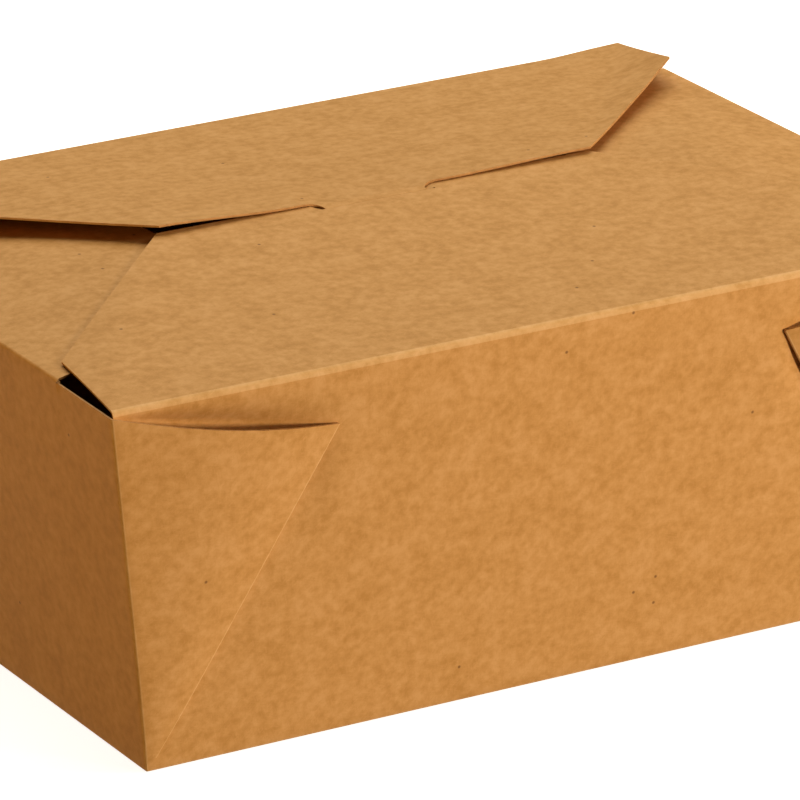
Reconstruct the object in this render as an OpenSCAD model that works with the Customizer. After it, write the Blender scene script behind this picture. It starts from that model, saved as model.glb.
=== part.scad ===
// Takeaway box folded from one sheet of kraft board, with its top closed.
// X runs along the box, -Y is the front, Z is up, and the base rests on Z = 0.

/* [Box] */
// Length of the base, between the outsides of its folds
base_l = 198; // [150:1:260]
// Width of the base, between the outsides of its folds
base_w = 140; // [120:1:180]
// Height of the top creases above the table
box_h = 89; // [60:1:120]
// Distance that each wall leans out between base and top crease
wall_flare = 12.5; // [8:0.5:16]
// Thickness of the board
board_t = 0.45; // [0.35:0.05:0.6]

/* [Folds] */
// Outer radius of the top creases
crease_r = 1.2; // [0.9:0.1:1.6]
// Air left between layers that are folded onto each other
layer_gap = 0.05; // [0.05:0.05:0.15]

/* [Corner webs] */
// Length of the web's slanting fold, from the base corner to its tip
web_fold_l = 87.3; // [50:0.1:88]
// Distance of the cut edge below the crease, at the corner
web_drop = 1; // [0.5:0.1:3]
// Dip of the cut edge below a straight line
web_dip = 1.1; // [0:0.1:2]
// Distance that the outer layer bulges away from the wall, at its cut edge
web_bulge = 2.5; // [1:0.1:4]

/* [Long flaps] */
// Distance of the flap's widest points from the crease
ear_reach = 31.5; // [20:0.5:40]
// Distance that each side of the flap narrows up to those points
ear_taper = 4; // [1:0.5:8]
// Length of the straight edge that meets the other flap
seam_l = 111.2; // [90:0.1:130]
// Distance of the seam behind the middle of the box
seam_shift = 2; // [0:0.5:5]
// Height of the back flap's free edge above the top creases
seam_rise = 5.4; // [3:0.1:8]
// Depth of the front flap that lies under the back flap
flap_lap = 1.5; // [0.5:0.5:4]
// Height that the back flap's corners curl up
back_curl = 4; // [0:0.5:6]
// Height that the front flap's corners droop
front_droop = 0.7; // [0:0.1:1]
// Air between the back flap and the front flap's free edge
flap_gap = 0.08; // [0.05:0.01:0.2]

/* [Lock] */
// Width of the tongue
tongue_w = 26; // [16:1:50]
// Distance of the tongue to the left of the middle
tongue_shift = 2; // [0:0.5:6]
// Length of the tongue below the bend
tongue_l = 8; // [5:0.5:9]
// Radius where the tongue leaves the edge of the flap
root_r = 2.5; // [1:0.5:4]
// Outer radius of the bend that turns the tongue down
tongue_bend_r = 0.9; // [0.7:0.1:1.2]
// Radius of the tongue's lower corners
tongue_r = 4; // [1:0.5:5]
// Air on each side of the tongue in its slit
slit_gap = 0.3; // [0.25:0.05:0.6]

/* [Short flaps] */
// Width of the short flap at its crease
short_w = 112; // [70:1:120]
// Width of the short flap at its free edge
short_end_w = 60; // [30:1:65]
// Distance that the short flap reaches in from its crease
short_reach = 58; // [35:1:65]
// Distance from the middle at which the short flap comes closest to the long flaps
touch_y = 22; // [12:1:30]
// Air that is left there
short_gap = 0.35; // [0.3:0.05:1]
// Distance from the crease at which the flap has reached its full height
short_run = 35; // [20:1:35]
// Depth of the cut beside the short flap, below the crease
side_cut = 1.3; // [0.5:0.1:3]

/* [Hinge] */
// Radius of the bead along the back crease
bead_r = 0.4; // [0.35:0.05:0.6]
// Air between that bead and the flap that turns on it
hinge_gap = 0.1; // [0.05:0.05:0.2]

/* [Hidden] */
$fn = 48;

half_t = board_t / 2;
layer = board_t + layer_gap;

// Neighbouring stretches of the sheet run into each other by this much.
run_in = 0.05;

// Along a fold the board is a little thicker on each side.
swell = 0.02;

// The walls are drawn on the middle of the board, from fold to fold.
base_x = base_l / 2 - half_t;
base_y = base_w / 2 - half_t;
wall_rise = box_h - board_t;
lean = atan(wall_flare / wall_rise);
slant = wall_rise / cos(lean);
side_angle = atan(wall_flare / slant);
top_x = base_x + wall_flare;
top_y = base_y + wall_flare;
top_z = box_h - half_t;

// Each web is a corner of the sheet, a right angle less the two leaning sides, folded in half.
web_angle = 45 - side_angle;
tip_angle = web_angle - side_angle;
web_top = slant - web_drop;
web_tip = web_fold_l * [sin(tip_angle), cos(tip_angle)];
layer_y = layer / cos(lean);
end_y = base_y + 2 * layer_y;
fold_r = (layer + board_t) / 2 + swell;
wall_inset = fold_r + half_t + layer_gap;
web_start = wall_inset / (tan(side_angle) + tan(tip_angle));
web_steps = 12;
web_root = 0.02;

// The long flaps rise from their creases to the seam, the back one over the front one.
bend_r = crease_r - half_t;
back_reach = top_y - seam_shift;
front_reach = top_y + seam_shift + flap_lap;
back_tilt = atan(seam_rise / back_reach);
front_rise = seam_rise - flap_lap * tan(back_tilt) - board_t - flap_gap;
front_tilt = atan(front_rise / front_reach);
front_start = bend_r * tan((90 + lean - front_tilt) / 2);
back_start = bead_r + hinge_gap;
crease_x = top_x - wall_inset;
ear_steps = 6;
ear_end = 0.985;
ear_root = 0.02;

// The tongue lies on the front flap as far as the slit, and hangs down through it.
neck_rise = seam_rise - (top_y + seam_shift) * tan(front_tilt);
neck_bend_r = tongue_bend_r - half_t;
neck_end = seam_shift - root_r;
tongue_y = neck_end - neck_bend_r * (1 - sin(front_tilt));
bend_z = top_z + neck_rise + (top_y + neck_end) * tan(front_tilt) - neck_bend_r * cos(front_tilt);
slit_w = board_t + 2 * slit_gap;

// The short flaps arch up under the long ones, which slope down on both sides of the middle.
short_start = bend_r * tan((90 + lean) / 2);
short_fall = tan(front_tilt) / (2 * touch_y);
short_crown = (top_y - touch_y) * tan(front_tilt) - board_t - short_gap + short_fall * touch_y * touch_y;
short_rows = 6;
short_cols = 8;

// A flat piece of board, with its middle on the XY plane.
module board() {
    translate([0, 0, -half_t])
        linear_extrude(height = board_t)
            children();
}

// A curved piece of board, with its middle on a grid of points.
module bent_board(grid) {
    cols = len(grid[0]);
    side = len(grid) * cols;
    points = [for (z = [half_t, -half_t]) for (row = grid) for (p = row) p + [0, 0, z]];
    cells = [for (r = [0 : len(grid) - 2]) for (c = [0 : cols - 2]) r * cols + c];
    over = [for (k = cells) each [[k, k + cols, k + cols + 1], [k, k + cols + 1, k + 1]]];
    under = [for (f = over) [f[0] + side, f[2] + side, f[1] + side]];
    around = concat(
        [for (c = [0 : cols - 2]) c],
        [for (r = [0 : len(grid) - 2]) (r + 1) * cols - 1],
        [for (c = [cols - 1 : -1 : 1]) side - cols + c],
        [for (r = [len(grid) - 1 : -1 : 1]) r * cols]
    );
    count = len(around);
    rim = [
        for (i = [0 : count - 1])
            let (a = around[i], b = around[(i + 1) % count])
                [a, b, b + side, a + side]
    ];
    polyhedron(points = points, faces = concat(over, under, rim));
}

// A rounded fold along X, from the +Y side round towards the top.
module fold(radius, length, turn) {
    translate([-length / 2, 0, 0])
        rotate([0, 90, 0])
            rotate([0, 0, 90])
                rotate_extrude(angle = turn)
                    translate([radius - half_t - swell, 0])
                        square([board_t + 2 * swell, length]);
}

// A round edge, from one point of a wall upwards, leaning by an angle.
module round_edge(radius, start, end, angle) {
    rotate([0, 0, angle])
        rotate([-90, 0, 0])
            translate([0, 0, start])
                cylinder(r = radius, h = end - start);
}

// Places a drawing on the outside of a wall, with its foot on the wall's bottom fold.
module on_wall(turn, out) {
    rotate([0, 0, turn])
        translate([0, -out, half_t])
            rotate([90 + lean, 0, 0])
                children();
}

// Places a drawing on a flap, with its foot on the middle of the flap's crease.
module on_flap(turn, out, tilt) {
    rotate([0, 0, turn])
        translate([0, -out, top_z])
            rotate([tilt, 0, 0])
                children();
}

// The rounded crease that carries a flap on top of a wall.
module top_crease(turn, out, tilt, length) {
    shift = bend_r / (1 + sin(tilt - lean));
    rotate([0, 0, turn])
        translate([0, shift * (cos(lean) + sin(tilt)) - out, top_z + shift * (sin(lean) - cos(tilt))])
            rotate([90 + tilt, 0, 0])
                fold(bend_r, length, 90 + lean - tilt);
}

module floor_panel() {
    translate([0, 0, half_t])
        board()
            square([2 * base_x, 2 * base_y], center = true);
    for (side = [-1, 1]) {
        translate([-base_x, side * base_y, half_t])
            rotate([0, 90, 0])
                cylinder(r = half_t, h = 2 * base_x);
        translate([side * base_x, -end_y, half_t])
            rotate([-90, 0, 0])
                cylinder(r = half_t, h = 2 * end_y);
    }
}

// A long wall, from its bottom fold up to a height along its slope.
module long_wall(height) {
    foot = base_x - wall_inset;
    head = foot + height * tan(side_angle);
    board()
        polygon([[-foot, 0], [foot, 0], [head, height], [-head, height]]);
}

// An end wall: its crease is as wide as the short flap, and beside that it is cut lower.
module end_wall() {
    crease_at = slant - short_start + run_in;
    cut_at = slant - side_cut;
    half = short_w / 2;
    cut_x = end_y + cut_at * tan(side_angle);
    board()
        polygon([
            [-end_y, 0], [end_y, 0], [cut_x, cut_at], [half, cut_at], [half, crease_at],
            [-half, crease_at], [-half, cut_at], [-cut_x, cut_at]
        ]);
}

// Point on the middle of the web's outer layer, across its cut edge from corner to tip.
function lip_point(s) =
    let (corner = [-web_top * tan(side_angle), web_top])
    let (p = corner + s * (web_tip - corner))
        [p[0], p[1] - 4 * web_dip * s * (1 - s), web_bulge * sin(180 * s)];

// The outer layer, which the end wall runs into: straight from the base corner to its bulging edge.
module outer_web() {
    lip = [for (i = [0 : web_steps]) lip_point(i / web_steps)];
    bent_board([[for (p = lip) web_root * p], lip]);
    round_edge(half_t + swell, 0, web_top / cos(side_angle), side_angle);
    translate([0, 0, -layer / 2])
        round_edge(fold_r, web_start, web_fold_l, -tip_angle);
}

// The inner layer, which the long wall runs into.
module inner_web() {
    side_top = [wall_inset - web_top * tan(side_angle), web_top];
    start = [web_start * tan(tip_angle), web_start];
    middle = (side_top + web_tip) / 2 - [0, web_dip];
    board()
        polygon([start, side_top, middle, web_tip]);
    translate([wall_inset, 0, -layer / 2])
        round_edge(fold_r, web_start, web_top / cos(side_angle), side_angle);
}

module corner_webs(turn) {
    for (flip = [0, 1]) {
        on_wall(turn, base_y + layer_y)
            mirror([flip, 0, 0])
                translate([-base_x, 0, 0])
                    inner_web();
        on_wall(turn, base_y + 2 * layer_y)
            mirror([flip, 0, 0])
                translate([-base_x, 0, 0])
                    outer_web();
    }
}

// The part of a long flap that stays flat, between the curls of its two ears.
module flap_middle(start, reach) {
    half = seam_l / 2;
    share = start / reach;
    foot = crease_x + share * (half - crease_x);
    board()
        polygon([[-foot, start], [foot, start], [half, reach], [-half, reach]]);
}

// One ear of a long flap, whose edge lines run side by side and lift towards its tip.
module flap_ear(start, reach, curl) {
    root = [crease_x, 0, 0];
    inner = [seam_l / 2, reach, 0];
    tip = [crease_x - ear_taper, ear_reach, 0];
    foot = start / reach;
    spots = concat([-ear_root], [for (i = [0 : ear_steps]) ear_end * i / ear_steps]);
    bent_board([
        for (s = spots)
            let (low = root + s * (tip - root), high = inner + s * (tip - inner))
            let (lift = [0, 0, curl * s * max(s, 0)])
            let (from = max(0, (start - low[1]) / (high[1] - low[1])))
                [high + lift, low + from * (high - low) + lift]
    ]);
}

module long_flap(start, reach, curl) {
    flap_middle(start, reach);
    for (flip = [0, 1])
        mirror([flip, 0, 0])
            flap_ear(start, reach, curl);
}

module slit() {
    reach = (top_y + tongue_y) / cos(front_tilt);
    half = tongue_w / 2 + slit_gap - slit_w / 2;
    translate([-tongue_shift, reach, -crease_r])
        linear_extrude(height = 2 * crease_r) {
            square([2 * half, slit_w], center = true);
            for (side = [-1, 1])
                translate([side * half, 0])
                    circle(d = slit_w);
        }
}

module front_flap() {
    top_crease(0, top_y, front_tilt, 2 * crease_x);
    on_flap(0, top_y, front_tilt)
        difference() {
            long_flap(front_start - run_in, front_reach / cos(front_tilt), -front_droop);
            slit();
        }
}

function short_half(y) =
    (short_w + (short_end_w - short_w) * (y - short_start) / (short_reach - short_start)) / 2;

function short_height(x, y) =
    sin(90 * min(1, max(0, y - short_start) / short_run)) * (short_crown - short_fall * x * x);

module short_flap(turn) {
    top_crease(turn, top_x, 0, short_w + 2 * run_in);
    on_flap(turn, top_x, 0)
        bent_board([
            for (r = [0 : short_rows])
                let (y = short_start - run_in + (short_reach - short_start) * r / short_rows)
                    [for (c = [0 : short_cols])
                        let (x = short_half(y) * (2 * c / short_cols - 1))
                            [x, y, short_height(x, y)]]
        ]);
}

module carton() {
    color("#c8935a") {
        floor_panel();
        on_wall(0, base_y)
            long_wall(slant - front_start + run_in);
        on_wall(180, base_y)
            long_wall(slant);
        on_flap(180, top_y, 0)
            translate([-crease_x, 0, 0])
                rotate([0, 90, 0])
                    cylinder(r = bead_r, h = 2 * crease_x);
        for (turn = [0, 180])
            corner_webs(turn);
        for (turn = [90, 270]) {
            on_wall(turn, base_x)
                end_wall();
            short_flap(turn);
        }
        front_flap();
    }
}

// The neck that leaves the free edge of the back flap and lies along the front flap.
module neck() {
    half = tongue_w / 2;
    back_edge = (top_y + seam_shift + board_t) / cos(front_tilt);
    front_edge = (top_y + neck_end) / cos(front_tilt) - run_in;
    board()
        difference() {
            translate([-half - root_r, front_edge])
                square([2 * (half + root_r), back_edge - front_edge]);
            for (side = [-1, 1])
                translate([side * (half + root_r), front_edge])
                    circle(r = root_r);
        }
}

module tongue() {
    half = tongue_w / 2;
    board() {
        translate([-half, -run_in])
            square([2 * half, tongue_l - tongue_r]);
        translate([-half + tongue_r, -run_in])
            square([2 * (half - tongue_r), tongue_l]);
        for (side = [-1, 1])
            translate([side * (half - tongue_r), tongue_l - tongue_r])
                circle(r = tongue_r);
    }
}

module back_flap() {
    color("#cb9860") {
        on_flap(180, top_y, back_tilt)
            long_flap(back_start, back_reach / cos(back_tilt), back_curl);
        translate([-tongue_shift, 0, 0]) {
            on_flap(0, top_y, front_tilt)
                translate([0, 0, neck_rise * cos(front_tilt)])
                    neck();
            translate([0, tongue_y + neck_bend_r, bend_z])
                rotate([0, 0, 180])
                    fold(neck_bend_r, tongue_w - 2 * run_in, 90 - front_tilt);
            translate([0, tongue_y, bend_z])
                rotate([-90, 0, 0])
                    tongue();
        }
    }
}

carton();
back_flap();
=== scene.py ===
from math import sin, cos, tan, atan, hypot, radians, exp, sqrt, pi
import bmesh
import bpy
from mathutils import Matrix, Vector


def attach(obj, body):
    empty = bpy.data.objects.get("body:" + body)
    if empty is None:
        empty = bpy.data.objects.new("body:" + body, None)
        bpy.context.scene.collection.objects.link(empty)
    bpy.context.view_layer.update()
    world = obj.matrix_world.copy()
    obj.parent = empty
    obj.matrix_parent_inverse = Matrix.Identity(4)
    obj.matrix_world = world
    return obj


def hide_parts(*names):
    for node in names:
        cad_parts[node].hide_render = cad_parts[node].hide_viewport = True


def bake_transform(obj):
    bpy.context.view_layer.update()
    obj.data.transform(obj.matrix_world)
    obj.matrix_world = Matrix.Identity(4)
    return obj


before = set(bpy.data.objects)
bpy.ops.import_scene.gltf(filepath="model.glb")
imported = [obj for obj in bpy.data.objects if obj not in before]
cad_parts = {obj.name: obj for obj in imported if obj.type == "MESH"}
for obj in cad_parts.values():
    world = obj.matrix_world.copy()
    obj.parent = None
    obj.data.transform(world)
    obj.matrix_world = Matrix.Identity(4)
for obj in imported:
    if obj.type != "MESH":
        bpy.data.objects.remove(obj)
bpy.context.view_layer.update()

mm = 0.001
hair = 0.01                              # mm; what lies closer together is one place
faceSlot, foldHighlightSlot, cutShadeSlot = 0, 1, 2    # each piece's three materials: face, crease (paler, partly painted highlight) and cut edge (darker, partly painted shade)
print("frame loaded:", sorted(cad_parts))

# The folded box in millimetres, measured on the middle of the board.
box = {
    "halfLength": 98.775, "halfWidth": 69.775,  # bottom folds
    "footZ": 0.225, "topZ": 88.775,             # bottom folds and top creases
    "flare": 12.5,                              # each wall leans out by this much
    "board": 0.45,                              # thickness
    "creaseRadius": 0.975,
    "baseRoll": 0.35,                           # bottom and corner folds bend from this far off
    "frontTilt": 3.18, "backTilt": 3.848,       # slope of the long flaps, in degrees
    "wallBow": 0.35,                            # folded walls are never quite flat
    "wallRows": 24, "longColumns": 72, "longRows": 56,
    "lastRow": 1.6, "crowding": 1.5,            # top row of the long walls in mm, crowding of those below
    "smoothBelow": 28,                          # degrees; edges with a sharper turn stay sharp
    "patternAside": 400,                        # mm on the blank, so that layers differ in pattern
}
halfX, halfY = box["halfLength"], box["halfWidth"]
rise = box["topZ"] - box["footZ"]
leanAngle = atan(box["flare"] / rise)
slant = hypot(rise, box["flare"])
topX, topY = halfX + box["flare"], halfY + box["flare"]
wallRows = box["wallRows"]


def startClean():
    if bpy.context.mode != "OBJECT":
        bpy.ops.object.mode_set(mode="OBJECT")
    bpy.ops.object.select_all(action="DESELECT")


def workOn(piece, mode="OBJECT"):
    startClean()
    piece.select_set(True)
    bpy.context.view_layer.objects.active = piece
    bpy.ops.object.mode_set(mode=mode)


def pickEdges(piece, test):
    # in edit mode: selects the edges whose two ends both pass the test, given in millimetres
    bpy.ops.mesh.select_mode(type="EDGE")
    bpy.ops.mesh.select_all(action="DESELECT")
    edit = bmesh.from_edit_mesh(piece.data)
    passed = {v: test(v.co / mm) for v in edit.verts}
    for edge in edit.edges:
        edge.select_set(passed[edge.verts[0]] and passed[edge.verts[1]])
    bmesh.update_edit_mesh(piece.data)
    return sum(e.select for e in edit.edges)


def layOut(panel, places):
    # moves each vertex to its folded place and notes where it lies on the flat blank
    blank = panel.data.uv_layers.new(name="blank")
    for vertex, place in zip(panel.data.vertices, places):
        vertex.co = Vector(place[0]) * mm
    for loop in panel.data.loops:
        blank.data[loop.index].uv = Vector(places[loop.vertex_index][1]) * mm


def gridPanel(name, columns, rows, place):
    # a flat grid primitive laid on the shape that place(u, v) gives
    startClean()
    bpy.ops.mesh.primitive_grid_add(x_subdivisions=columns, y_subdivisions=rows, size=1, calc_uvs=False)
    panel = bpy.context.active_object
    panel.name = name
    places = []
    for vertex in panel.data.vertices:
        u = round((vertex.co.x + 0.5) * columns) / columns
        v = round((vertex.co.y + 0.5) * rows) / rows
        places.append(place(u, v))
    layOut(panel, places)
    return panel


def turnFaces(panel):
    workOn(panel, "EDIT")
    bpy.ops.mesh.select_all(action="SELECT")
    bpy.ops.mesh.flip_normals()
    bpy.ops.object.mode_set(mode="OBJECT")


def stepped(share, marks):
    # share 0..1 along a list of (share, value) marks
    for (s0, v0), (s1, v1) in zip(marks, marks[1:]):
        if share <= s1 + 1e-9:
            return v0 + (v1 - v0) * (share - s0) / (s1 - s0)
    return marks[-1][1]


def smooth(x):
    x = min(1, max(0, x))
    return x * x * (3 - 2 * x)


def joinSheet(panels, name):
    startClean()
    for panel in panels:
        panel.select_set(True)
    bpy.context.view_layer.objects.active = panels[0]
    bpy.ops.object.join()
    sheet = bpy.context.active_object
    sheet.name = name
    sheet.data.name = name
    workOn(sheet, "EDIT")
    bpy.ops.mesh.select_all(action="SELECT")
    bpy.ops.mesh.remove_doubles(threshold=hair * mm)
    bpy.ops.object.mode_set(mode="OBJECT")
    return sheet


def giveThickness(sheet):
    workOn(sheet)
    skin = sheet.modifiers.new("boardThickness", "SOLIDIFY")
    skin.thickness = box["board"] * mm
    skin.offset = 0
    skin.use_even_offset = True
    # the rim takes the cut-edge board, whose darker tone is partly painted shade
    skin.material_offset_rim = cutShadeSlot
    bpy.ops.object.modifier_apply(modifier=skin.name)
    bpy.ops.object.shade_smooth_by_angle(angle=radians(box["smoothBelow"]))


def linear(hexColour):
    channels = [int(hexColour[i:i + 2], 16) / 255 for i in (1, 3, 5)]
    return tuple(c / 12.92 if c <= 0.04045 else ((c + 0.055) / 1.055) ** 2.4 for c in channels) + (1,)


def addNode(material, kind, settings=None, links=None):
    node = material.node_tree.nodes.new(kind)
    for key, value in (settings or {}).items():
        if key.startswith("in:"):
            key = key[3:]
            node.inputs[int(key) if key.isdigit() else key].default_value = value
        else:
            setattr(node, key, value)
    for key, source in (links or {}).items():
        material.node_tree.links.new(source, node.inputs[int(key) if key.isdigit() else key])
    return node


kraft = {
    "cloudMm": 2.4, "cloudShare": 0.62,        # fibre flocks in the pulp
    "wideCloudMm": 9, "wideCloudShare": 0.38,  # formation, the uneven thickness of the pulp
    "darkFrom": 0.37, "lightFrom": 0.63,       # the darkest and the lightest tone, on the clouds' scale
    "fibreWidthMm": 0.3,                       # real ones are thinner; this is the finest that shows
    "fibreLengthMm": 1.9,
    "fibreLays": ((12, 0.0, 1.0), (71, 0.31, 0.9), (133, 0.67, 0.95)),  # degrees, shift, strength
    "darkFibres": 0.8,                         # as strong as this beside the light ones
    "speckCellMm": 5.5, "speckShare": 0.017,   # one cell in sixty holds a bark speck
    "speckColour": "#6B4423", "speckStrength": 0.75,
    "reliefMm": 0.05,
    "roughness": 0.7,
}


def kraftBoard(name, light, middle, dark, fibre, bump):
    # unbleached sulphate board, machine made: matte, cloudy, with fibres lying every way
    material = bpy.data.materials.new(name)
    material.use_nodes = True
    material.node_tree.nodes.clear()
    blank = addNode(material, "ShaderNodeUVMap", {"uv_map": "blank"}).outputs["UV"]
    clouds = addNode(material, "ShaderNodeTexNoise", {
        "in:Scale": 1 / (kraft["cloudMm"] * mm), "in:Detail": 4, "in:Roughness": 0.52}, {"Vector": blank})
    wide = addNode(material, "ShaderNodeTexNoise", {
        "in:Scale": 1 / (kraft["wideCloudMm"] * mm), "in:Detail": 2, "in:Roughness": 0.5}, {"Vector": blank})
    wide = addNode(material, "ShaderNodeMath", {"operation": "MULTIPLY", "in:1": kraft["wideCloudShare"]}, {
        "0": wide.outputs["Fac"]})
    cloudy = addNode(material, "ShaderNodeMath", {"operation": "MULTIPLY_ADD", "in:1": kraft["cloudShare"]}, {
        "0": clouds.outputs["Fac"], "2": wide.outputs[0]})
    tone = addNode(material, "ShaderNodeValToRGB", None, {"Fac": cloudy.outputs[0]})
    tone.color_ramp.elements[0].position = kraft["darkFrom"]
    tone.color_ramp.elements[0].color = linear(dark)
    tone.color_ramp.elements[1].position = kraft["lightFrom"]
    tone.color_ramp.elements[1].color = linear(light)
    tone.color_ramp.elements.new(0.5).color = linear(middle)
    colour = tone.outputs["Color"]
    height = cloudy.outputs[0]
    # lays of fibre, each turned another way on the blank
    for turn, offset, strength in kraft["fibreLays"]:
        turned = addNode(material, "ShaderNodeVectorRotate", {
            "rotation_type": "Z_AXIS", "in:Angle": radians(turn)}, {"Vector": blank})
        lay = addNode(material, "ShaderNodeMapping", {
            "in:Location": (offset, offset, 0),
            "in:Scale": (1 / (kraft["fibreWidthMm"] * mm), 1 / (kraft["fibreLengthMm"] * mm), 1)}, {
            "Vector": turned.outputs[0]})
        strands = addNode(material, "ShaderNodeTexNoise", {
            "in:Scale": 1.0, "in:Detail": 1, "in:Roughness": 0.5, "in:Distortion": 0.35}, {
            "Vector": lay.outputs[0]})
        strand = addNode(material, "ShaderNodeMapRange", {
            "in:From Min": 0.56, "in:From Max": 0.72, "in:To Max": fibre * strength}, {
            "Value": strands.outputs["Fac"]})
        colour = addNode(material, "ShaderNodeMix", {"data_type": "RGBA", "in:7": linear(light)}, {
            "0": strand.outputs[0], "6": colour}).outputs[2]
        shade = addNode(material, "ShaderNodeMapRange", {
            "in:From Min": 0.42, "in:From Max": 0.28, "in:To Max": fibre * strength * kraft["darkFibres"]}, {
            "Value": strands.outputs["Fac"]})
        colour = addNode(material, "ShaderNodeMix", {"data_type": "RGBA", "in:7": linear(dark)}, {
            "0": shade.outputs[0], "6": colour}).outputs[2]
        height = addNode(material, "ShaderNodeMath", {"operation": "ADD"}, {
            "0": height, "1": strand.outputs[0]}).outputs[0]
    cells = addNode(material, "ShaderNodeTexVoronoi", {
        "voronoi_dimensions": "2D", "in:Scale": 1 / (kraft["speckCellMm"] * mm)}, {"Vector": blank})
    draw = addNode(material, "ShaderNodeSeparateColor", None, {"Color": cells.outputs["Color"]})
    chosen = addNode(material, "ShaderNodeMath", {"operation": "LESS_THAN", "in:1": kraft["speckShare"]}, {
        "0": draw.outputs[0]})
    spot = addNode(material, "ShaderNodeMapRange", {
        "in:From Min": 0.085, "in:From Max": 0.04, "in:To Max": kraft["speckStrength"]}, {
        "Value": cells.outputs["Distance"]})
    speck = addNode(material, "ShaderNodeMath", {"operation": "MULTIPLY"}, {
        "0": chosen.outputs[0], "1": spot.outputs[0]})
    colour = addNode(material, "ShaderNodeMix", {"data_type": "RGBA", "in:7": linear(kraft["speckColour"])}, {
        "0": speck.outputs[0], "6": colour}).outputs[2]
    relief = addNode(material, "ShaderNodeBump", {
        "in:Strength": bump, "in:Distance": kraft["reliefMm"] * mm}, {"Height": height})
    surface = addNode(material, "ShaderNodeBsdfPrincipled", {
        "in:Roughness": kraft["roughness"], "in:IOR": 1.5, "in:Specular IOR Level": 0.3}, {
        "Base Color": colour, "Normal": relief.outputs[0]})
    addNode(material, "ShaderNodeOutputMaterial", None, {"Surface": surface.outputs[0]})
    return material


boardFace = kraftBoard("unbleachedKraftBoard", "#D5A369", "#CB985A", "#BE8B4B", 0.3, 0.12)
# folding loosens the top fibres, which look paler; the paler tone also stands in for the light that the
# rounded crease catches: painted highlight
creasedBoardWithHighlight = kraftBoard("creasedKraftBoardPaintedHighlight", "#E1B682", "#D9AC74", "#CC9D61", 0.3, 0.12)
# cut fibres, a little ragged and darker than the face: partly their own tone, partly painted shade for edges
# that lie in shadow
boardCutAndShade = kraftBoard("dieCutKraftEdgePaintedShade", "#B98A55", "#AE7F4B", "#9E6F3E", 0.35, 0.8)
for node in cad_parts.values():
    node.data.materials.clear()
    node.data.materials.append(boardFace)
print("kraft board ready")

# Corner webs: each folds in half and lies on the long wall, its outer layer running on from the end wall.
web = {
    "foldLength": 87.3,      # base corner to tip, along the slanting fold
    "foldSteps": 6,
    "drop": 1.0,             # cut edge below the crease, at the corner
    "dip": 1.1,              # hollow of the cut edge
    "bulge": 3.2,            # outer layer away from the wall, at the cut edge
    "layers": 1.01,          # outer layer off the long wall
    "settling": 8,           # the higher, the sooner above the base corner they are that far off
    "lower": 3.5,            # cut edge of the inner layer below that of the outer one
    "inset": 0.75,           # inner layer starts this far in from the corner
    "tipHold": 4,            # the higher, the nearer to the tip the inner layer follows the dent
    "dent": 4.0,             # the wall gives way under the pull of the web
    "dentAtEdge": 0.9,       # share of it at the cut edge
    "dentCurve": 2.2,        # the higher, the more sharply the wall turns in above that
    "dentKept": 4, "dentFade": 14,   # mm below the cut edge: it stays as deep, then eases out
}
sideAngle = atan(box["flare"] / slant)
tipAngle = radians(45) - 2 * sideAngle
webTop = slant - web["drop"]
webCorner = Vector((-webTop * tan(sideAngle), webTop))
webInner = webCorner + Vector((web["inset"], -web["lower"]))
webTip = web["foldLength"] * Vector((sin(tipAngle), cos(tipAngle)))


def standOff(r):
    # the layers lie close at the base corner and reach their full thickness soon above it
    return web["layers"] * (1 - exp(-web["settling"] * r))


def lipHeight(s):
    return webCorner.y + s * (webTip.y - webCorner.y) - 4 * web["dip"] * s * (1 - s)


def wallDent(x, b):
    s = (x - webCorner.x) / (webTip.x - webCorner.x)
    if s <= 0 or s >= 1:
        return 0
    lip = lipHeight(s)
    # turned in ever more sharply, down to the web's cut edge
    depth = web["dentAtEdge"] * min(1, (slant - b) / (slant - lip)) ** web["dentCurve"]
    depth *= exp(-(max(0, lip - web["dentKept"] - b) / web["dentFade"]) ** 2)
    return web["dent"] * sin(pi * s) * depth


def onLongWall(sx, sy, x, b, out):
    # x from the base corner towards the middle, b up the slope, out away from the wall
    return (sx * (halfX - x), sy * (halfY + b * sin(leanAngle) + out), box["footZ"] + b * cos(leanAngle))


def trianglePanel(name, corner, tip, place, turnOver):
    startClean()
    bpy.ops.mesh.primitive_circle_add(vertices=3, fill_type="NGON", calc_uvs=False)
    panel = bpy.context.active_object
    panel.name = name
    for vertex, spot in zip(panel.data.vertices, (Vector((0, 0)), tip, corner)):
        vertex.co = (spot.x * mm, spot.y * mm, 0)
    workOn(panel, "EDIT")
    bpy.ops.mesh.select_all(action="SELECT")
    bpy.ops.mesh.subdivide(number_cuts=wallRows - 1)
    bpy.ops.object.mode_set(mode="OBJECT")
    facesUp = panel.data.polygons[0].normal.z > 0
    area = corner.x * tip.y - corner.y * tip.x
    places = []
    for vertex in panel.data.vertices:
        x, b = vertex.co.x / mm, vertex.co.y / mm
        atTip = (corner.x * b - corner.y * x) / area
        atCorner = (x * tip.y - b * tip.x) / area
        r = round((atTip + atCorner) * wallRows) / wallRows
        s = atTip / max(atTip + atCorner, 1e-6)
        places.append(place(r, min(1, max(0, s))))
    layOut(panel, places)
    if turnOver == facesUp:
        turnFaces(panel)
    return panel


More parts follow.
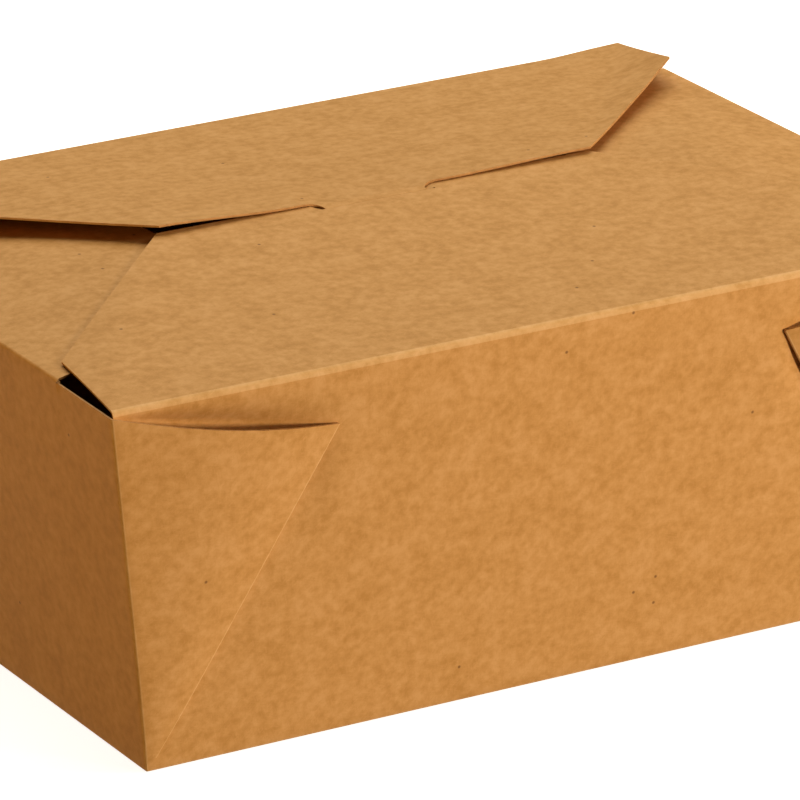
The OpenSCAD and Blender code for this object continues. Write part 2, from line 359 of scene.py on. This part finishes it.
def cornerWeb(sx, sy):
    away = Vector((cos(tipAngle), -sin(tipAngle)))
    turned = sx * sy < 0

    def outerPlace(r, s):
        flat = r * (webCorner + s * (webTip - webCorner))
        b = flat.y - r * 4 * web["dip"] * s * (1 - s)
        out = standOff(r) + r * web["bulge"] * sin(pi * s)
        return onLongWall(sx, sy, flat.x, b, out), (sx * (halfX - flat.x), sy * (halfY + b))

    def innerPlace(r, s):
        flat = r * (webInner + s * (webTip - webInner))
        b = flat.y - r * 4 * (web["dip"] + web["lower"]) * s * (1 - s)
        out = standOff(r) / 2 - wallDent(flat.x, b) * (1 - s ** web["tipHold"])
        onBlank = (sx * (halfX - flat.x) + box["patternAside"], sy * (halfY + b))
        return onLongWall(sx, sy, flat.x, b, out), onBlank

    def foldPlace(u, v):
        r = (1 + (wallRows - 1) * v) / wallRows
        swing = pi * (0.5 - u)
        half = standOff(r) / 4
        flat = r * webTip + half * cos(swing) * away
        out = 3 * half + half * sin(swing)
        return onLongWall(sx, sy, flat.x, flat.y, out), (sx * (halfX - flat.x) + u, sy * (halfY + flat.y))

    outer = trianglePanel("webOuter", webCorner, webTip, outerPlace, turned)
    inner = trianglePanel("webInner", webInner, webTip, innerPlace, not turned)
    fold = gridPanel("webFold", web["foldSteps"], wallRows - 1, foldPlace)
    fold.data.materials.append(boardFace)
    fold.data.materials.append(creasedBoardWithHighlight)
    # the fold strip takes the paler crease board: whitened fibres plus painted highlight
    for face in fold.data.polygons:
        face.material_index = foldHighlightSlot
    if turned:
        turnFaces(fold)
    return [outer, inner, fold]


# The tongue of the back flap and its slit in the front flap.
lock = {
    "middle": -2.0,                  # the tongue sits a little left of the middle
    "tongueHalf": 13.0, "rootRadius": 2.5,
    "neckSteps": ((0.1, 0.6), (0.3, 0.5), (0.6, 0.3), (1, 0)),  # share of the root, curl left by the step
    "bendRadius": 0.25, "bendSteps": 6,
    "length": 8.0, "cornerRadius": 4.0,
    "tongueSteps": (0.25, 0.5, 0.6875, 0.8375, 0.9375, 1),      # shares of the length
    "slitY": -0.65, "slitHalf": 15.3, "slitWidth": 0.5,
    "slotDepth": 3, "endRoundness": 0.98,
    "press": 0.71,                   # the back flap is pulled down at the tongue, flush with the front
    "pressInside": 1, "pressEase": 5,    # mm: in full this far inside the tongue's sides, eased out over this
    "pressFade": 9,                      # mm back from the seam
    "strip": 0.66,                   # the strip behind the slit goes under the back flap
    "stripEase": 2, "stripRow": 0.2,     # mm: from the slit's ends inwards, rows before and behind the slit
}
neckHalf = lock["tongueHalf"] + lock["rootRadius"]

# The outline that both long flaps share.
flaps = {
    "creaseHalf": topX - web["inset"],   # half the length of the long creases
    "earHalf": 106.6, "earReach": 31.5,
    "seamHalf": 55.6, "seamShift": 2.0,
}
frontFlap = {
    "lap": 1.5,                      # it runs on under the back flap
    "droop": 0.9,                    # of its ears
}
rearFlap = {
    "curl": 3.6, "curlPower": 1.15,  # its ears rise
    "spring": 0.9,                   # the ends of its crease don't lie quite flat
    "springFrom": 88, "springFade": 60,  # mm from the middle, mm from the crease
    "rightLift": (0.7, 12),          # ends of its free edge: mm up, mm over which that fades
    "leftLift": (1.6, 60),
    "liftBeside": 6, "liftFull": 25,     # mm: starts beside the tongue, is in full off the crease
    "creaseMargin": 2.0,             # flat board on both sides of the crease strip
}
# The short flaps rise to a crown over a run, less so at their sides.
shortFlap = {
    "front": 58.0, "back": 61.0,     # they lie a little towards the back
    "endHalf": 30.0, "reach": 58.0,
    "level": 1.2, "run": 35.0, "crown": 2.79, "fall": 0.001263,
    "notch": 0.4, "sideCut": 0.65,
    "roll": 0.55,                    # the end creases roll over, from this far off the fold
}
shortColumns, sideColumns, shortRows = 26, 12, 20
endColumns = shortColumns + 2 * sideColumns + 2
cornerHalf = topY + web["layers"]        # half the width of an end wall at its top, with the webs
endMarks = [(0, -cornerHalf),
            (sideColumns / endColumns, -shortFlap["front"] - shortFlap["notch"]),
            ((sideColumns + 1) / endColumns, -shortFlap["front"]),
            ((sideColumns + 1 + shortColumns) / endColumns, shortFlap["back"]),
            ((sideColumns + 2 + shortColumns) / endColumns, shortFlap["back"] + shortFlap["notch"]),
            (1, cornerHalf)]
frontTilt, backTilt = radians(box["frontTilt"]), radians(box["backTilt"])
frontTurn, backTurn = pi / 2 + leanAngle - frontTilt, pi / 2 + leanAngle - backTilt


def tangentLength(turn):
    # how far from its fold line a crease starts to bend
    return box["creaseRadius"] * tan(turn / 2)


def backLift(x, e):
    # height of the back flap above its plane: sprung crease ends and curled ears
    towardsEnd = (abs(x) - rearFlap["springFrom"]) / (flaps["creaseHalf"] - rearFlap["springFrom"])
    spring = rearFlap["spring"] * smooth(towardsEnd) * exp(-e / rearFlap["springFade"])
    return spring + rearFlap["curl"] * earShare(x, e, backReach) ** rearFlap["curlPower"]


backCreaseStart = tangentLength(backTurn) + rearFlap["creaseMargin"]


def floorPlace(u, v):
    across = stepped(1 - v, endMarks) / cornerHalf * halfY
    return ((2 * u - 1) * halfX, across, box["footZ"]), ((2 * u - 1) * halfX, across)


def longWallPlace(side, end):
    last = 1 - 1 / box["longRows"]

    def place(u, v):
        # rows crowd towards the top, where the webs pull the wall in,
        # and the last is wide enough for the crease
        t = end
        if v < last + 0.001:
            t = (end - box["lastRow"] / slant) * (1 - (1 - v / last) ** box["crowding"])
        x = -side * (2 * u - 1) * (halfX + (box["flare"] - web["inset"]) * t)
        b = t * slant
        out = box["wallBow"] * sin(pi * u) * sin(pi * v) - wallDent(halfX - abs(x), b)
        return (x, side * (halfY + box["flare"] * t + out), box["footZ"] + rise * t), (x, side * (halfY + b))
    return place


def endWallPlace(side):
    def place(u, v):
        atTop = stepped(u if side > 0 else 1 - u, endMarks)
        cut = 0
        flapEnd = shortFlap["back"] if atTop > 0 else shortFlap["front"]
        if abs(atTop) > flapEnd + hair:
            span = cornerHalf - flapEnd - shortFlap["notch"]
            cut = web["drop"] + (shortFlap["sideCut"] - web["drop"]) * (cornerHalf - abs(atTop)) / span
        t = v * (1 - cut / slant)
        half = halfY + box["flare"] * t + standOff(v)
        y = atTop / cornerHalf * half
        if abs(atTop) > cornerHalf - hair:
            t = v * webTop / slant
            y = (1 if atTop > 0 else -1) * (halfY + box["flare"] * t + standOff(v))
        out = box["wallBow"] * sin(pi * u) * sin(pi * v)
        x = side * (halfX + box["flare"] * t + out)
        return (x, y, box["footZ"] + rise * t), (side * (halfX + t * slant), y)
    return place


def shortFlapPlace(side):
    def place(u, v):
        e = v * shortFlap["reach"]
        half = (shortFlap["front"] + shortFlap["back"]) / 2
        y = (shortFlap["back"] - shortFlap["front"]) / 2
        y += side * (2 * u - 1) * (half + (shortFlap["endHalf"] - half) * v)
        risen = sin(pi / 2 * min(1, max(0, e - shortFlap["level"]) / shortFlap["run"]))
        arch = risen * (shortFlap["crown"] - shortFlap["fall"] * y * y)
        return (side * (topX - e), y, box["topZ"] + arch), (side * (halfX + slant + e), y)
    return place


def flapOutline(e, reach):
    crease, ear, seam = flaps["creaseHalf"], flaps["earHalf"], flaps["seamHalf"]
    if e <= flaps["earReach"]:
        return crease + (ear - crease) * e / flaps["earReach"]
    return ear + (seam - ear) * (e - flaps["earReach"]) / (reach - flaps["earReach"])


def earShare(x, e, reach):
    # 0 on the line from the crease's end to the seam's end, 1 at the ear's tip
    def across(px, pe):
        return (px - flaps["creaseHalf"]) * reach - pe * (flaps["seamHalf"] - flaps["creaseHalf"])
    return max(0, across(abs(x), e) / across(flaps["earHalf"], flaps["earReach"]))


frontReach = (topY + flaps["seamShift"] + frontFlap["lap"]) / cos(frontTilt)
backReach = (topY - flaps["seamShift"]) / cos(backTilt)
frontRows, frontEarRows, frontLipRows = 40, 14, 3
slitReach = (topY + lock["slitY"]) / cos(frontTilt)


def frontFlapPlace(u, v):
    e = stepped(v, [(0, 0), (frontEarRows / frontRows, flaps["earReach"]),
                    (1 - (frontLipRows + 1) / frontRows, slitReach - lock["stripRow"]),
                    (1 - frontLipRows / frontRows, slitReach + lock["stripRow"]), (1, frontReach)])
    x = (2 * u - 1) * flapOutline(e, frontReach)
    droop = frontFlap["droop"] * earShare(x, e, frontReach) ** 2
    if e > slitReach:
        droop += lock["strip"] * smooth((lock["slitHalf"] - abs(x - lock["middle"])) / lock["stripEase"])
    height = box["topZ"] + e * sin(frontTilt) - droop
    return (x, -topY + e * cos(frontTilt), height), (x, -(halfY + slant + e))


def foldEdge(sheet, test, offset, segments, material):
    workOn(sheet, "EDIT")
    count = pickEdges(sheet, test)
    bpy.ops.mesh.bevel(offset=offset * mm, offset_type="OFFSET",
                       segments=segments, profile=0.5, affect="EDGES", material=material)
    bpy.ops.object.mode_set(mode="OBJECT")
    print("  folded", count, "edges")


def makeCarton():
    columns = box["longColumns"]
    backEnd = 1 - backCreaseStart / slant
    panels = [gridPanel("floor", columns, endColumns, floorPlace)]
    panels.append(gridPanel("frontWall", columns, box["longRows"], longWallPlace(-1, 1)))
    panels.append(gridPanel("backWall", columns, box["longRows"], longWallPlace(1, backEnd)))
    panels.append(gridPanel("frontFlap", columns, frontRows, frontFlapPlace))
    for side in (-1, 1):
        panels.append(gridPanel("endWall", endColumns, wallRows, endWallPlace(side)))
        panels.append(gridPanel("shortFlap", shortColumns, shortRows, shortFlapPlace(side)))
        for sy in (-1, 1):
            panels += cornerWeb(side, sy)
    for panel in panels:
        if not panel.data.materials:
            panel.data.materials.append(boardFace)
            panel.data.materials.append(creasedBoardWithHighlight)
        panel.data.materials.append(boardCutAndShade)
    sheet = joinSheet(panels, "cartonBoard")
    near = 0.004      # mm off a fold line
    # the front crease takes the paler crease board, with its painted highlight
    foldEdge(sheet, lambda p: abs(p.y + topY) < near and abs(p.z - box["topZ"]) < near,
             tangentLength(frontTurn), segments=6, material=foldHighlightSlot)
    # the ends are rolled over, with no sharp crease
    foldEdge(sheet, lambda p: abs(abs(p.x) - topX) < near and abs(p.z - box["topZ"]) < near,
             shortFlap["roll"], segments=5, material=faceSlot)

    def onBase(p):
        # the bottom folds, and the upright ones between end walls and webs
        flat = abs(p.z - box["footZ"]) < near
        if flat:
            return abs(abs(p.x) - halfX) < near or abs(abs(p.y) - halfY) < near
        r = (p.z - box["footZ"]) / (webTop * cos(leanAngle))
        x = halfX + r * webTop * sin(leanAngle)
        y = halfY + r * webTop * sin(leanAngle) + standOff(r)
        return abs(abs(p.x) - x) < near and abs(abs(p.y) - y) < near
    # the bottom and corner folds take the paler crease board too, with its painted highlight
    foldEdge(sheet, onBase, box["baseRoll"], segments=3, material=foldHighlightSlot)
    giveThickness(sheet)
    return sheet


carton = makeCarton()
print("carton folded:", len(carton.data.polygons), "faces")


def cutSlit(sheet):
    # a slot with round ends, pushed through the front flap and taken away from it
    startClean()
    y = lock["slitY"] * mm
    z = (box["topZ"] + (topY + lock["slitY"]) * tan(frontTilt)) * mm
    bpy.ops.mesh.primitive_cube_add(size=1, location=(0, 0, 0))
    slot = bpy.context.active_object
    slot.name = "slotCutter"
    slot.data.materials.append(boardCutAndShade)
    workOn(slot, "EDIT")
    bpy.ops.mesh.select_all(action="SELECT")
    size = (2 * lock["slitHalf"] * mm, lock["slitWidth"] * mm, lock["slotDepth"] * mm)
    bpy.ops.transform.resize(value=size)
    bpy.ops.mesh.select_mode(type="EDGE")
    bpy.ops.mesh.select_all(action="DESELECT")
    edit = bmesh.from_edit_mesh(slot.data)
    for edge in edit.edges:
        edge.select_set(abs(edge.verts[0].co.z - edge.verts[1].co.z) > mm)      # the upright ones
    bmesh.update_edit_mesh(slot.data)
    bpy.ops.mesh.bevel(offset=0.5 * lock["slitWidth"] * mm * lock["endRoundness"],
                       segments=5, profile=0.5, affect="EDGES")
    bpy.ops.mesh.select_all(action="SELECT")
    bpy.ops.transform.translate(value=(lock["middle"] * mm, y, z))
    workOn(sheet)
    cut = sheet.modifiers.new("slit", "BOOLEAN")
    cut.operation = "DIFFERENCE"
    cut.solver = "EXACT"
    cut.object = slot
    bpy.ops.object.modifier_apply(modifier=cut.name)
    bpy.data.objects.remove(slot)


cutSlit(carton)
print("slit cut:", len(carton.data.polygons), "faces")


def makeBackFlap():
    columns, rows, earRows = 62, 36, 12
    tongueFrom, tongueTo = 24, 38      # columns, counted from the right end
    marks = [(0, -1), (tongueFrom / columns, -(lock["middle"] + neckHalf) / flaps["seamHalf"]),
             (tongueTo / columns, -(lock["middle"] - neckHalf) / flaps["seamHalf"]), (1, 1)]
    liftRun = flaps["seamHalf"] - (lock["tongueHalf"] + rearFlap["liftBeside"])

    def place(u, v):
        e = stepped(v, [(0, backCreaseStart), (earRows / rows, flaps["earReach"]), (1, backReach)])
        x = -stepped(u, marks) * flapOutline(e, backReach)
        toSeam = backReach - e
        aside = abs(x - lock["middle"]) - lock["tongueHalf"]
        most, fade = rearFlap["leftLift"] if x < 0 else rearFlap["rightLift"]
        lift = most * smooth((aside - rearFlap["liftBeside"]) / liftRun) * exp(-toSeam / fade)
        lift = backLift(x, e) + lift * smooth(e / rearFlap["liftFull"])
        pressed = lock["press"] * smooth(1 - (aside + lock["pressInside"]) / lock["pressEase"])
        lift -= pressed * exp(-(toSeam / lock["pressFade"]) ** 2)
        height = box["topZ"] + e * sin(backTilt) + lift
        return (x, topY - e * cos(backTilt), height), (-x, box["patternAside"] + e)

    sheet = gridPanel("backFlapBoard", columns, rows, place)
    for material in (boardFace, creasedBoardWithHighlight, boardCutAndShade):
        sheet.data.materials.append(material)
    workOn(sheet, "EDIT")
    left, right = lock["middle"] - neckHalf - hair, lock["middle"] + neckHalf + hair
    pickEdges(sheet, lambda p: left < p.x < right and p.y < flaps["seamShift"] + hair)
    # the neck narrows between two round roots and lies along the front flap
    seamZ = box["topZ"] + backReach * sin(backTilt)
    root = lock["rootRadius"]
    width, reached = neckHalf, 0
    for share, curlLeft in lock["neckSteps"]:
        depth = share * root
        step = (depth - reached) * mm
        along = (0, -step * cos(frontTilt), -step * sin(frontTilt))
        bpy.ops.mesh.extrude_edges_move(TRANSFORM_OT_translate={"value": along})
        narrower = neckHalf - sqrt(root ** 2 - (root - depth) ** 2)
        neckZ = seamZ - lock["press"] - depth * sin(frontTilt)
        centre = (lock["middle"] * mm, 0, neckZ * mm)
        bpy.ops.transform.resize(value=(narrower / width, 1, curlLeft), center_override=centre)
        width, reached = narrower, depth
    # bend down into the slit
    edit = bmesh.from_edit_mesh(sheet.data)
    end = next(v.co.copy() for v in edit.verts if v.select)
    bend = lock["bendRadius"] * mm
    pivot = (0, end.y + bend * sin(frontTilt), end.z - bend * cos(frontTilt))
    bpy.ops.mesh.spin(steps=lock["bendSteps"], angle=-(pi / 2 - frontTilt), center=pivot, axis=(1, 0, 0))
    # straight down, with round corners
    width, reached = lock["tongueHalf"], 0
    radius = lock["cornerRadius"]
    for share in lock["tongueSteps"]:
        depth = share * lock["length"]
        bpy.ops.mesh.extrude_edges_move(TRANSFORM_OT_translate={"value": (0, 0, -(depth - reached) * mm)})
        low = lock["length"] - depth
        narrower = lock["tongueHalf"] - radius + sqrt(radius ** 2 - max(0, radius - low) ** 2)
        bpy.ops.transform.resize(value=(narrower / width, 1, 1), center_override=centre)
        width, reached = narrower, depth
    bpy.ops.object.mode_set(mode="OBJECT")
    # the board's pattern runs on along the tongue
    blank = sheet.data.uv_layers["blank"]
    for loop in sheet.data.loops:
        p = sheet.data.vertices[loop.vertex_index].co / mm
        if p.y < flaps["seamShift"] - hair:
            onward = box["patternAside"] + backReach + (flaps["seamShift"] - p.y) + (seamZ - p.z)
            blank.data[loop.index].uv = Vector((-p.x, onward)) * mm
    giveThickness(sheet)
    return sheet


backFlap = makeBackFlap()
low = min(v.co.z for v in backFlap.data.vertices) / mm
print("back flap made:", len(backFlap.data.polygons), "faces, tongue down to", round(low, 2))


creaseStrip = {
    "columns": 60, "rows": 14,
    "flatRows": 3,           # on the wall, and as many on the flap
    "endInset": 0.12,        # the bent part ends this far in
    "foldBand": 0.02,        # mm over the crease radius that still look folded
    "blankRow": 0.4,         # mm on the blank from row to row
}


def makeBackCrease():
    tangent = tangentLength(backTurn)
    margin = rearFlap["creaseMargin"]
    rows, flatRows = creaseStrip["rows"], creaseStrip["flatRows"]
    bentRows = rows - 2 * flatRows
    up = Vector((sin(leanAngle), cos(leanAngle)))           # y and z up the back wall
    inward = Vector((-cos(backTilt), sin(backTilt)))        # y and z along the flap
    corner = Vector((topY, box["topZ"]))
    start = corner - up * tangent
    pivot = start + Vector((-up.y, up.x)) * box["creaseRadius"]
    arm = Vector((up.y, -up.x))

    def place(u, v):
        row = round(v * rows)
        e, risen, d = tangent, 0, 0
        if row <= flatRows:
            d = margin * (1 - row / flatRows)
            p = start - up * d
            half = halfX + (box["flare"] - web["inset"]) * (1 - (d + tangent) / slant)
        elif row >= rows - flatRows:
            e = tangent + margin * (row - rows + flatRows) / flatRows
            p = corner + inward * e
            half = flapOutline(e, backReach)
            risen = 1
        else:
            swing = backTurn * (row - flatRows) / bentRows
            p = pivot + box["creaseRadius"] * Vector((arm.x * cos(swing) - arm.y * sin(swing),
                                                      arm.x * sin(swing) + arm.y * cos(swing)))
            half = flaps["creaseHalf"] - creaseStrip["endInset"]
            risen = (row - flatRows) / bentRows
        x = -(2 * u - 1) * half
        # it goes in with the dented wall below and up with the flap above
        y = p.x - (1 - smooth(risen)) * wallDent(halfX - abs(x), slant - tangent - d)
        z = p.y + smooth(risen) * backLift(x, e)
        return (x, y, z), (x, halfY + slant + row * creaseStrip["blankRow"])

    strip = gridPanel("backCreaseBoard", creaseStrip["columns"], rows, place)
    for material in (boardFace, creasedBoardWithHighlight, boardCutAndShade):
        strip.data.materials.append(material)
    # bent faces take the paler crease board, with its painted highlight
    for face in strip.data.polygons:
        z, y = face.center.z / mm, face.center.y / mm
        bent = (Vector((y, z)) - pivot).length < box["creaseRadius"] + creaseStrip["foldBand"]
        face.material_index = foldHighlightSlot if bent else faceSlot
    giveThickness(strip)
    return strip


backCrease = makeBackCrease()
print("back crease made:", len(backCrease.data.polygons), "faces")

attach(carton, "box")
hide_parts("carton")
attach(backFlap, "flap")
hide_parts("back_flap")
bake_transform(backCrease)


studio = {
    "floorHalf": 4.0, "floorColour": "#F4F4F4",
    "floorGlow": 0.86,                                        # seen by the camera and in reflections only
    "lampsAim": (0, 0, 0.05),
    "key": {"at": (1.0, -1.65, 0.13), "size": 0.26, "watts": 31.8, "colour": "#FFE8C4"},
    "overhead": {"at": (0.4, 0.75, 1.4), "size": 1.7, "watts": 27.4, "colour": "#FFF4D8"},
    "side": {"at": (0.8, -0.8, 0.72), "size": 0.35, "watts": 4.3, "colour": "#FFEED2"},
    "fill": {"at": (-0.58, -0.08, 0.09), "size": 0.14, "watts": 0.77, "colour": "#FFCA52"},
    "sky": "#FFD9A0", "skyStrength": 0.06,
    "bounce": "#3A1E06",                                      # what the walls receive from the table
}


def makeStage():
    startClean()
    bpy.ops.mesh.primitive_plane_add(size=2 * studio["floorHalf"], location=(0, 0, 0))
    floor = bpy.context.active_object
    floor.name = "studioFloor"
    material = bpy.data.materials.new("paleStudioFloor")
    material.use_nodes = True
    material.node_tree.nodes.clear()
    path = addNode(material, "ShaderNodeLightPath")
    seen = addNode(material, "ShaderNodeMath", {"operation": "MAXIMUM"}, {
        "0": path.outputs["Is Camera Ray"], "1": path.outputs["Is Glossy Ray"]})
    seen = addNode(material, "ShaderNodeMath", {"operation": "MAXIMUM"}, {
        "0": seen.outputs[0], "1": path.outputs["Is Transmission Ray"]})
    bounce = addNode(material, "ShaderNodeBsdfDiffuse", {"in:Color": linear(studio["bounce"])})
    pale = addNode(material, "ShaderNodeBsdfDiffuse", {"in:Color": linear(studio["floorColour"])})
    glow = addNode(material, "ShaderNodeEmission", {
        "in:Color": (1, 1, 1, 1), "in:Strength": studio["floorGlow"]})
    both = addNode(material, "ShaderNodeAddShader", None, {"0": pale.outputs[0], "1": glow.outputs[0]})
    mixed = addNode(material, "ShaderNodeMixShader", None, {
        "0": seen.outputs[0], "1": bounce.outputs[0], "2": both.outputs[0]})
    addNode(material, "ShaderNodeOutputMaterial", None, {"Surface": mixed.outputs[0]})
    floor.data.materials.append(material)

    world = bpy.data.worlds.new("softRoom")
    bpy.context.scene.world = world
    world.use_nodes = True
    world.node_tree.nodes.clear()
    path = addNode(world, "ShaderNodeLightPath")
    room = addNode(world, "ShaderNodeBackground", {
        "in:Color": linear(studio["sky"]), "in:Strength": studio["skyStrength"]})
    white = addNode(world, "ShaderNodeBackground", {"in:Color": (1, 1, 1, 1), "in:Strength": 1})
    mixed = addNode(world, "ShaderNodeMixShader", None, {
        "0": path.outputs["Is Camera Ray"], "1": room.outputs[0], "2": white.outputs[0]})
    addNode(world, "ShaderNodeOutputWorld", None, {"Surface": mixed.outputs[0]})

    for name in ("key", "overhead", "side", "fill"):
        lamp = studio[name]
        data = bpy.data.lights.new(name, "AREA")
        data.shape = "SQUARE"
        data.size = lamp["size"]
        data.energy = lamp["watts"]
        data.color = linear(lamp["colour"])[:3]
        light = bpy.data.objects.new(name, data)
        light.location = lamp["at"]
        beam = Vector(studio["lampsAim"]) - Vector(lamp["at"])
        light.rotation_euler = beam.to_track_quat("-Z", "Y").to_euler()
        bpy.context.scene.collection.objects.link(light)


makeStage()

view = {
    "turn": -28.9, "above": 20.2, "roll": -0.95,   # degrees
    "distance": 1618.8, "aimHeight": 44.5,         # mm from the middle of the box, mm above the table
    "lens": 319.6, "sensor": 36,                   # mm
    "aside": 3.2, "lift": 0.1,                     # mm
}


def makeCamera():
    turn, above, roll = radians(view["turn"]), radians(view["above"]), radians(view["roll"])
    back = Vector((sin(turn) * cos(above), -cos(turn) * cos(above), sin(above)))
    right = Vector((cos(turn), sin(turn), 0))
    up = back.cross(right)
    right, up = cos(roll) * right + sin(roll) * up, cos(roll) * up - sin(roll) * right
    aim = Vector((0, 0, view["aimHeight"])) + view["aside"] * right + view["lift"] * up
    data = bpy.data.cameras.new("photoCamera")
    data.sensor_width = view["sensor"]
    data.lens = view["lens"]
    data.clip_start = 0.05
    camera = bpy.data.objects.new("photoCamera", data)
    camera.location = (aim + back * view["distance"]) * mm
    camera.rotation_mode = "QUATERNION"
    camera.rotation_quaternion = Matrix((right, up, back)).transposed().to_quaternion()
    bpy.context.scene.collection.objects.link(camera)
    bpy.context.scene.camera = camera


makeCamera()
bpy.context.scene.view_settings.view_transform = "Standard"
startClean()
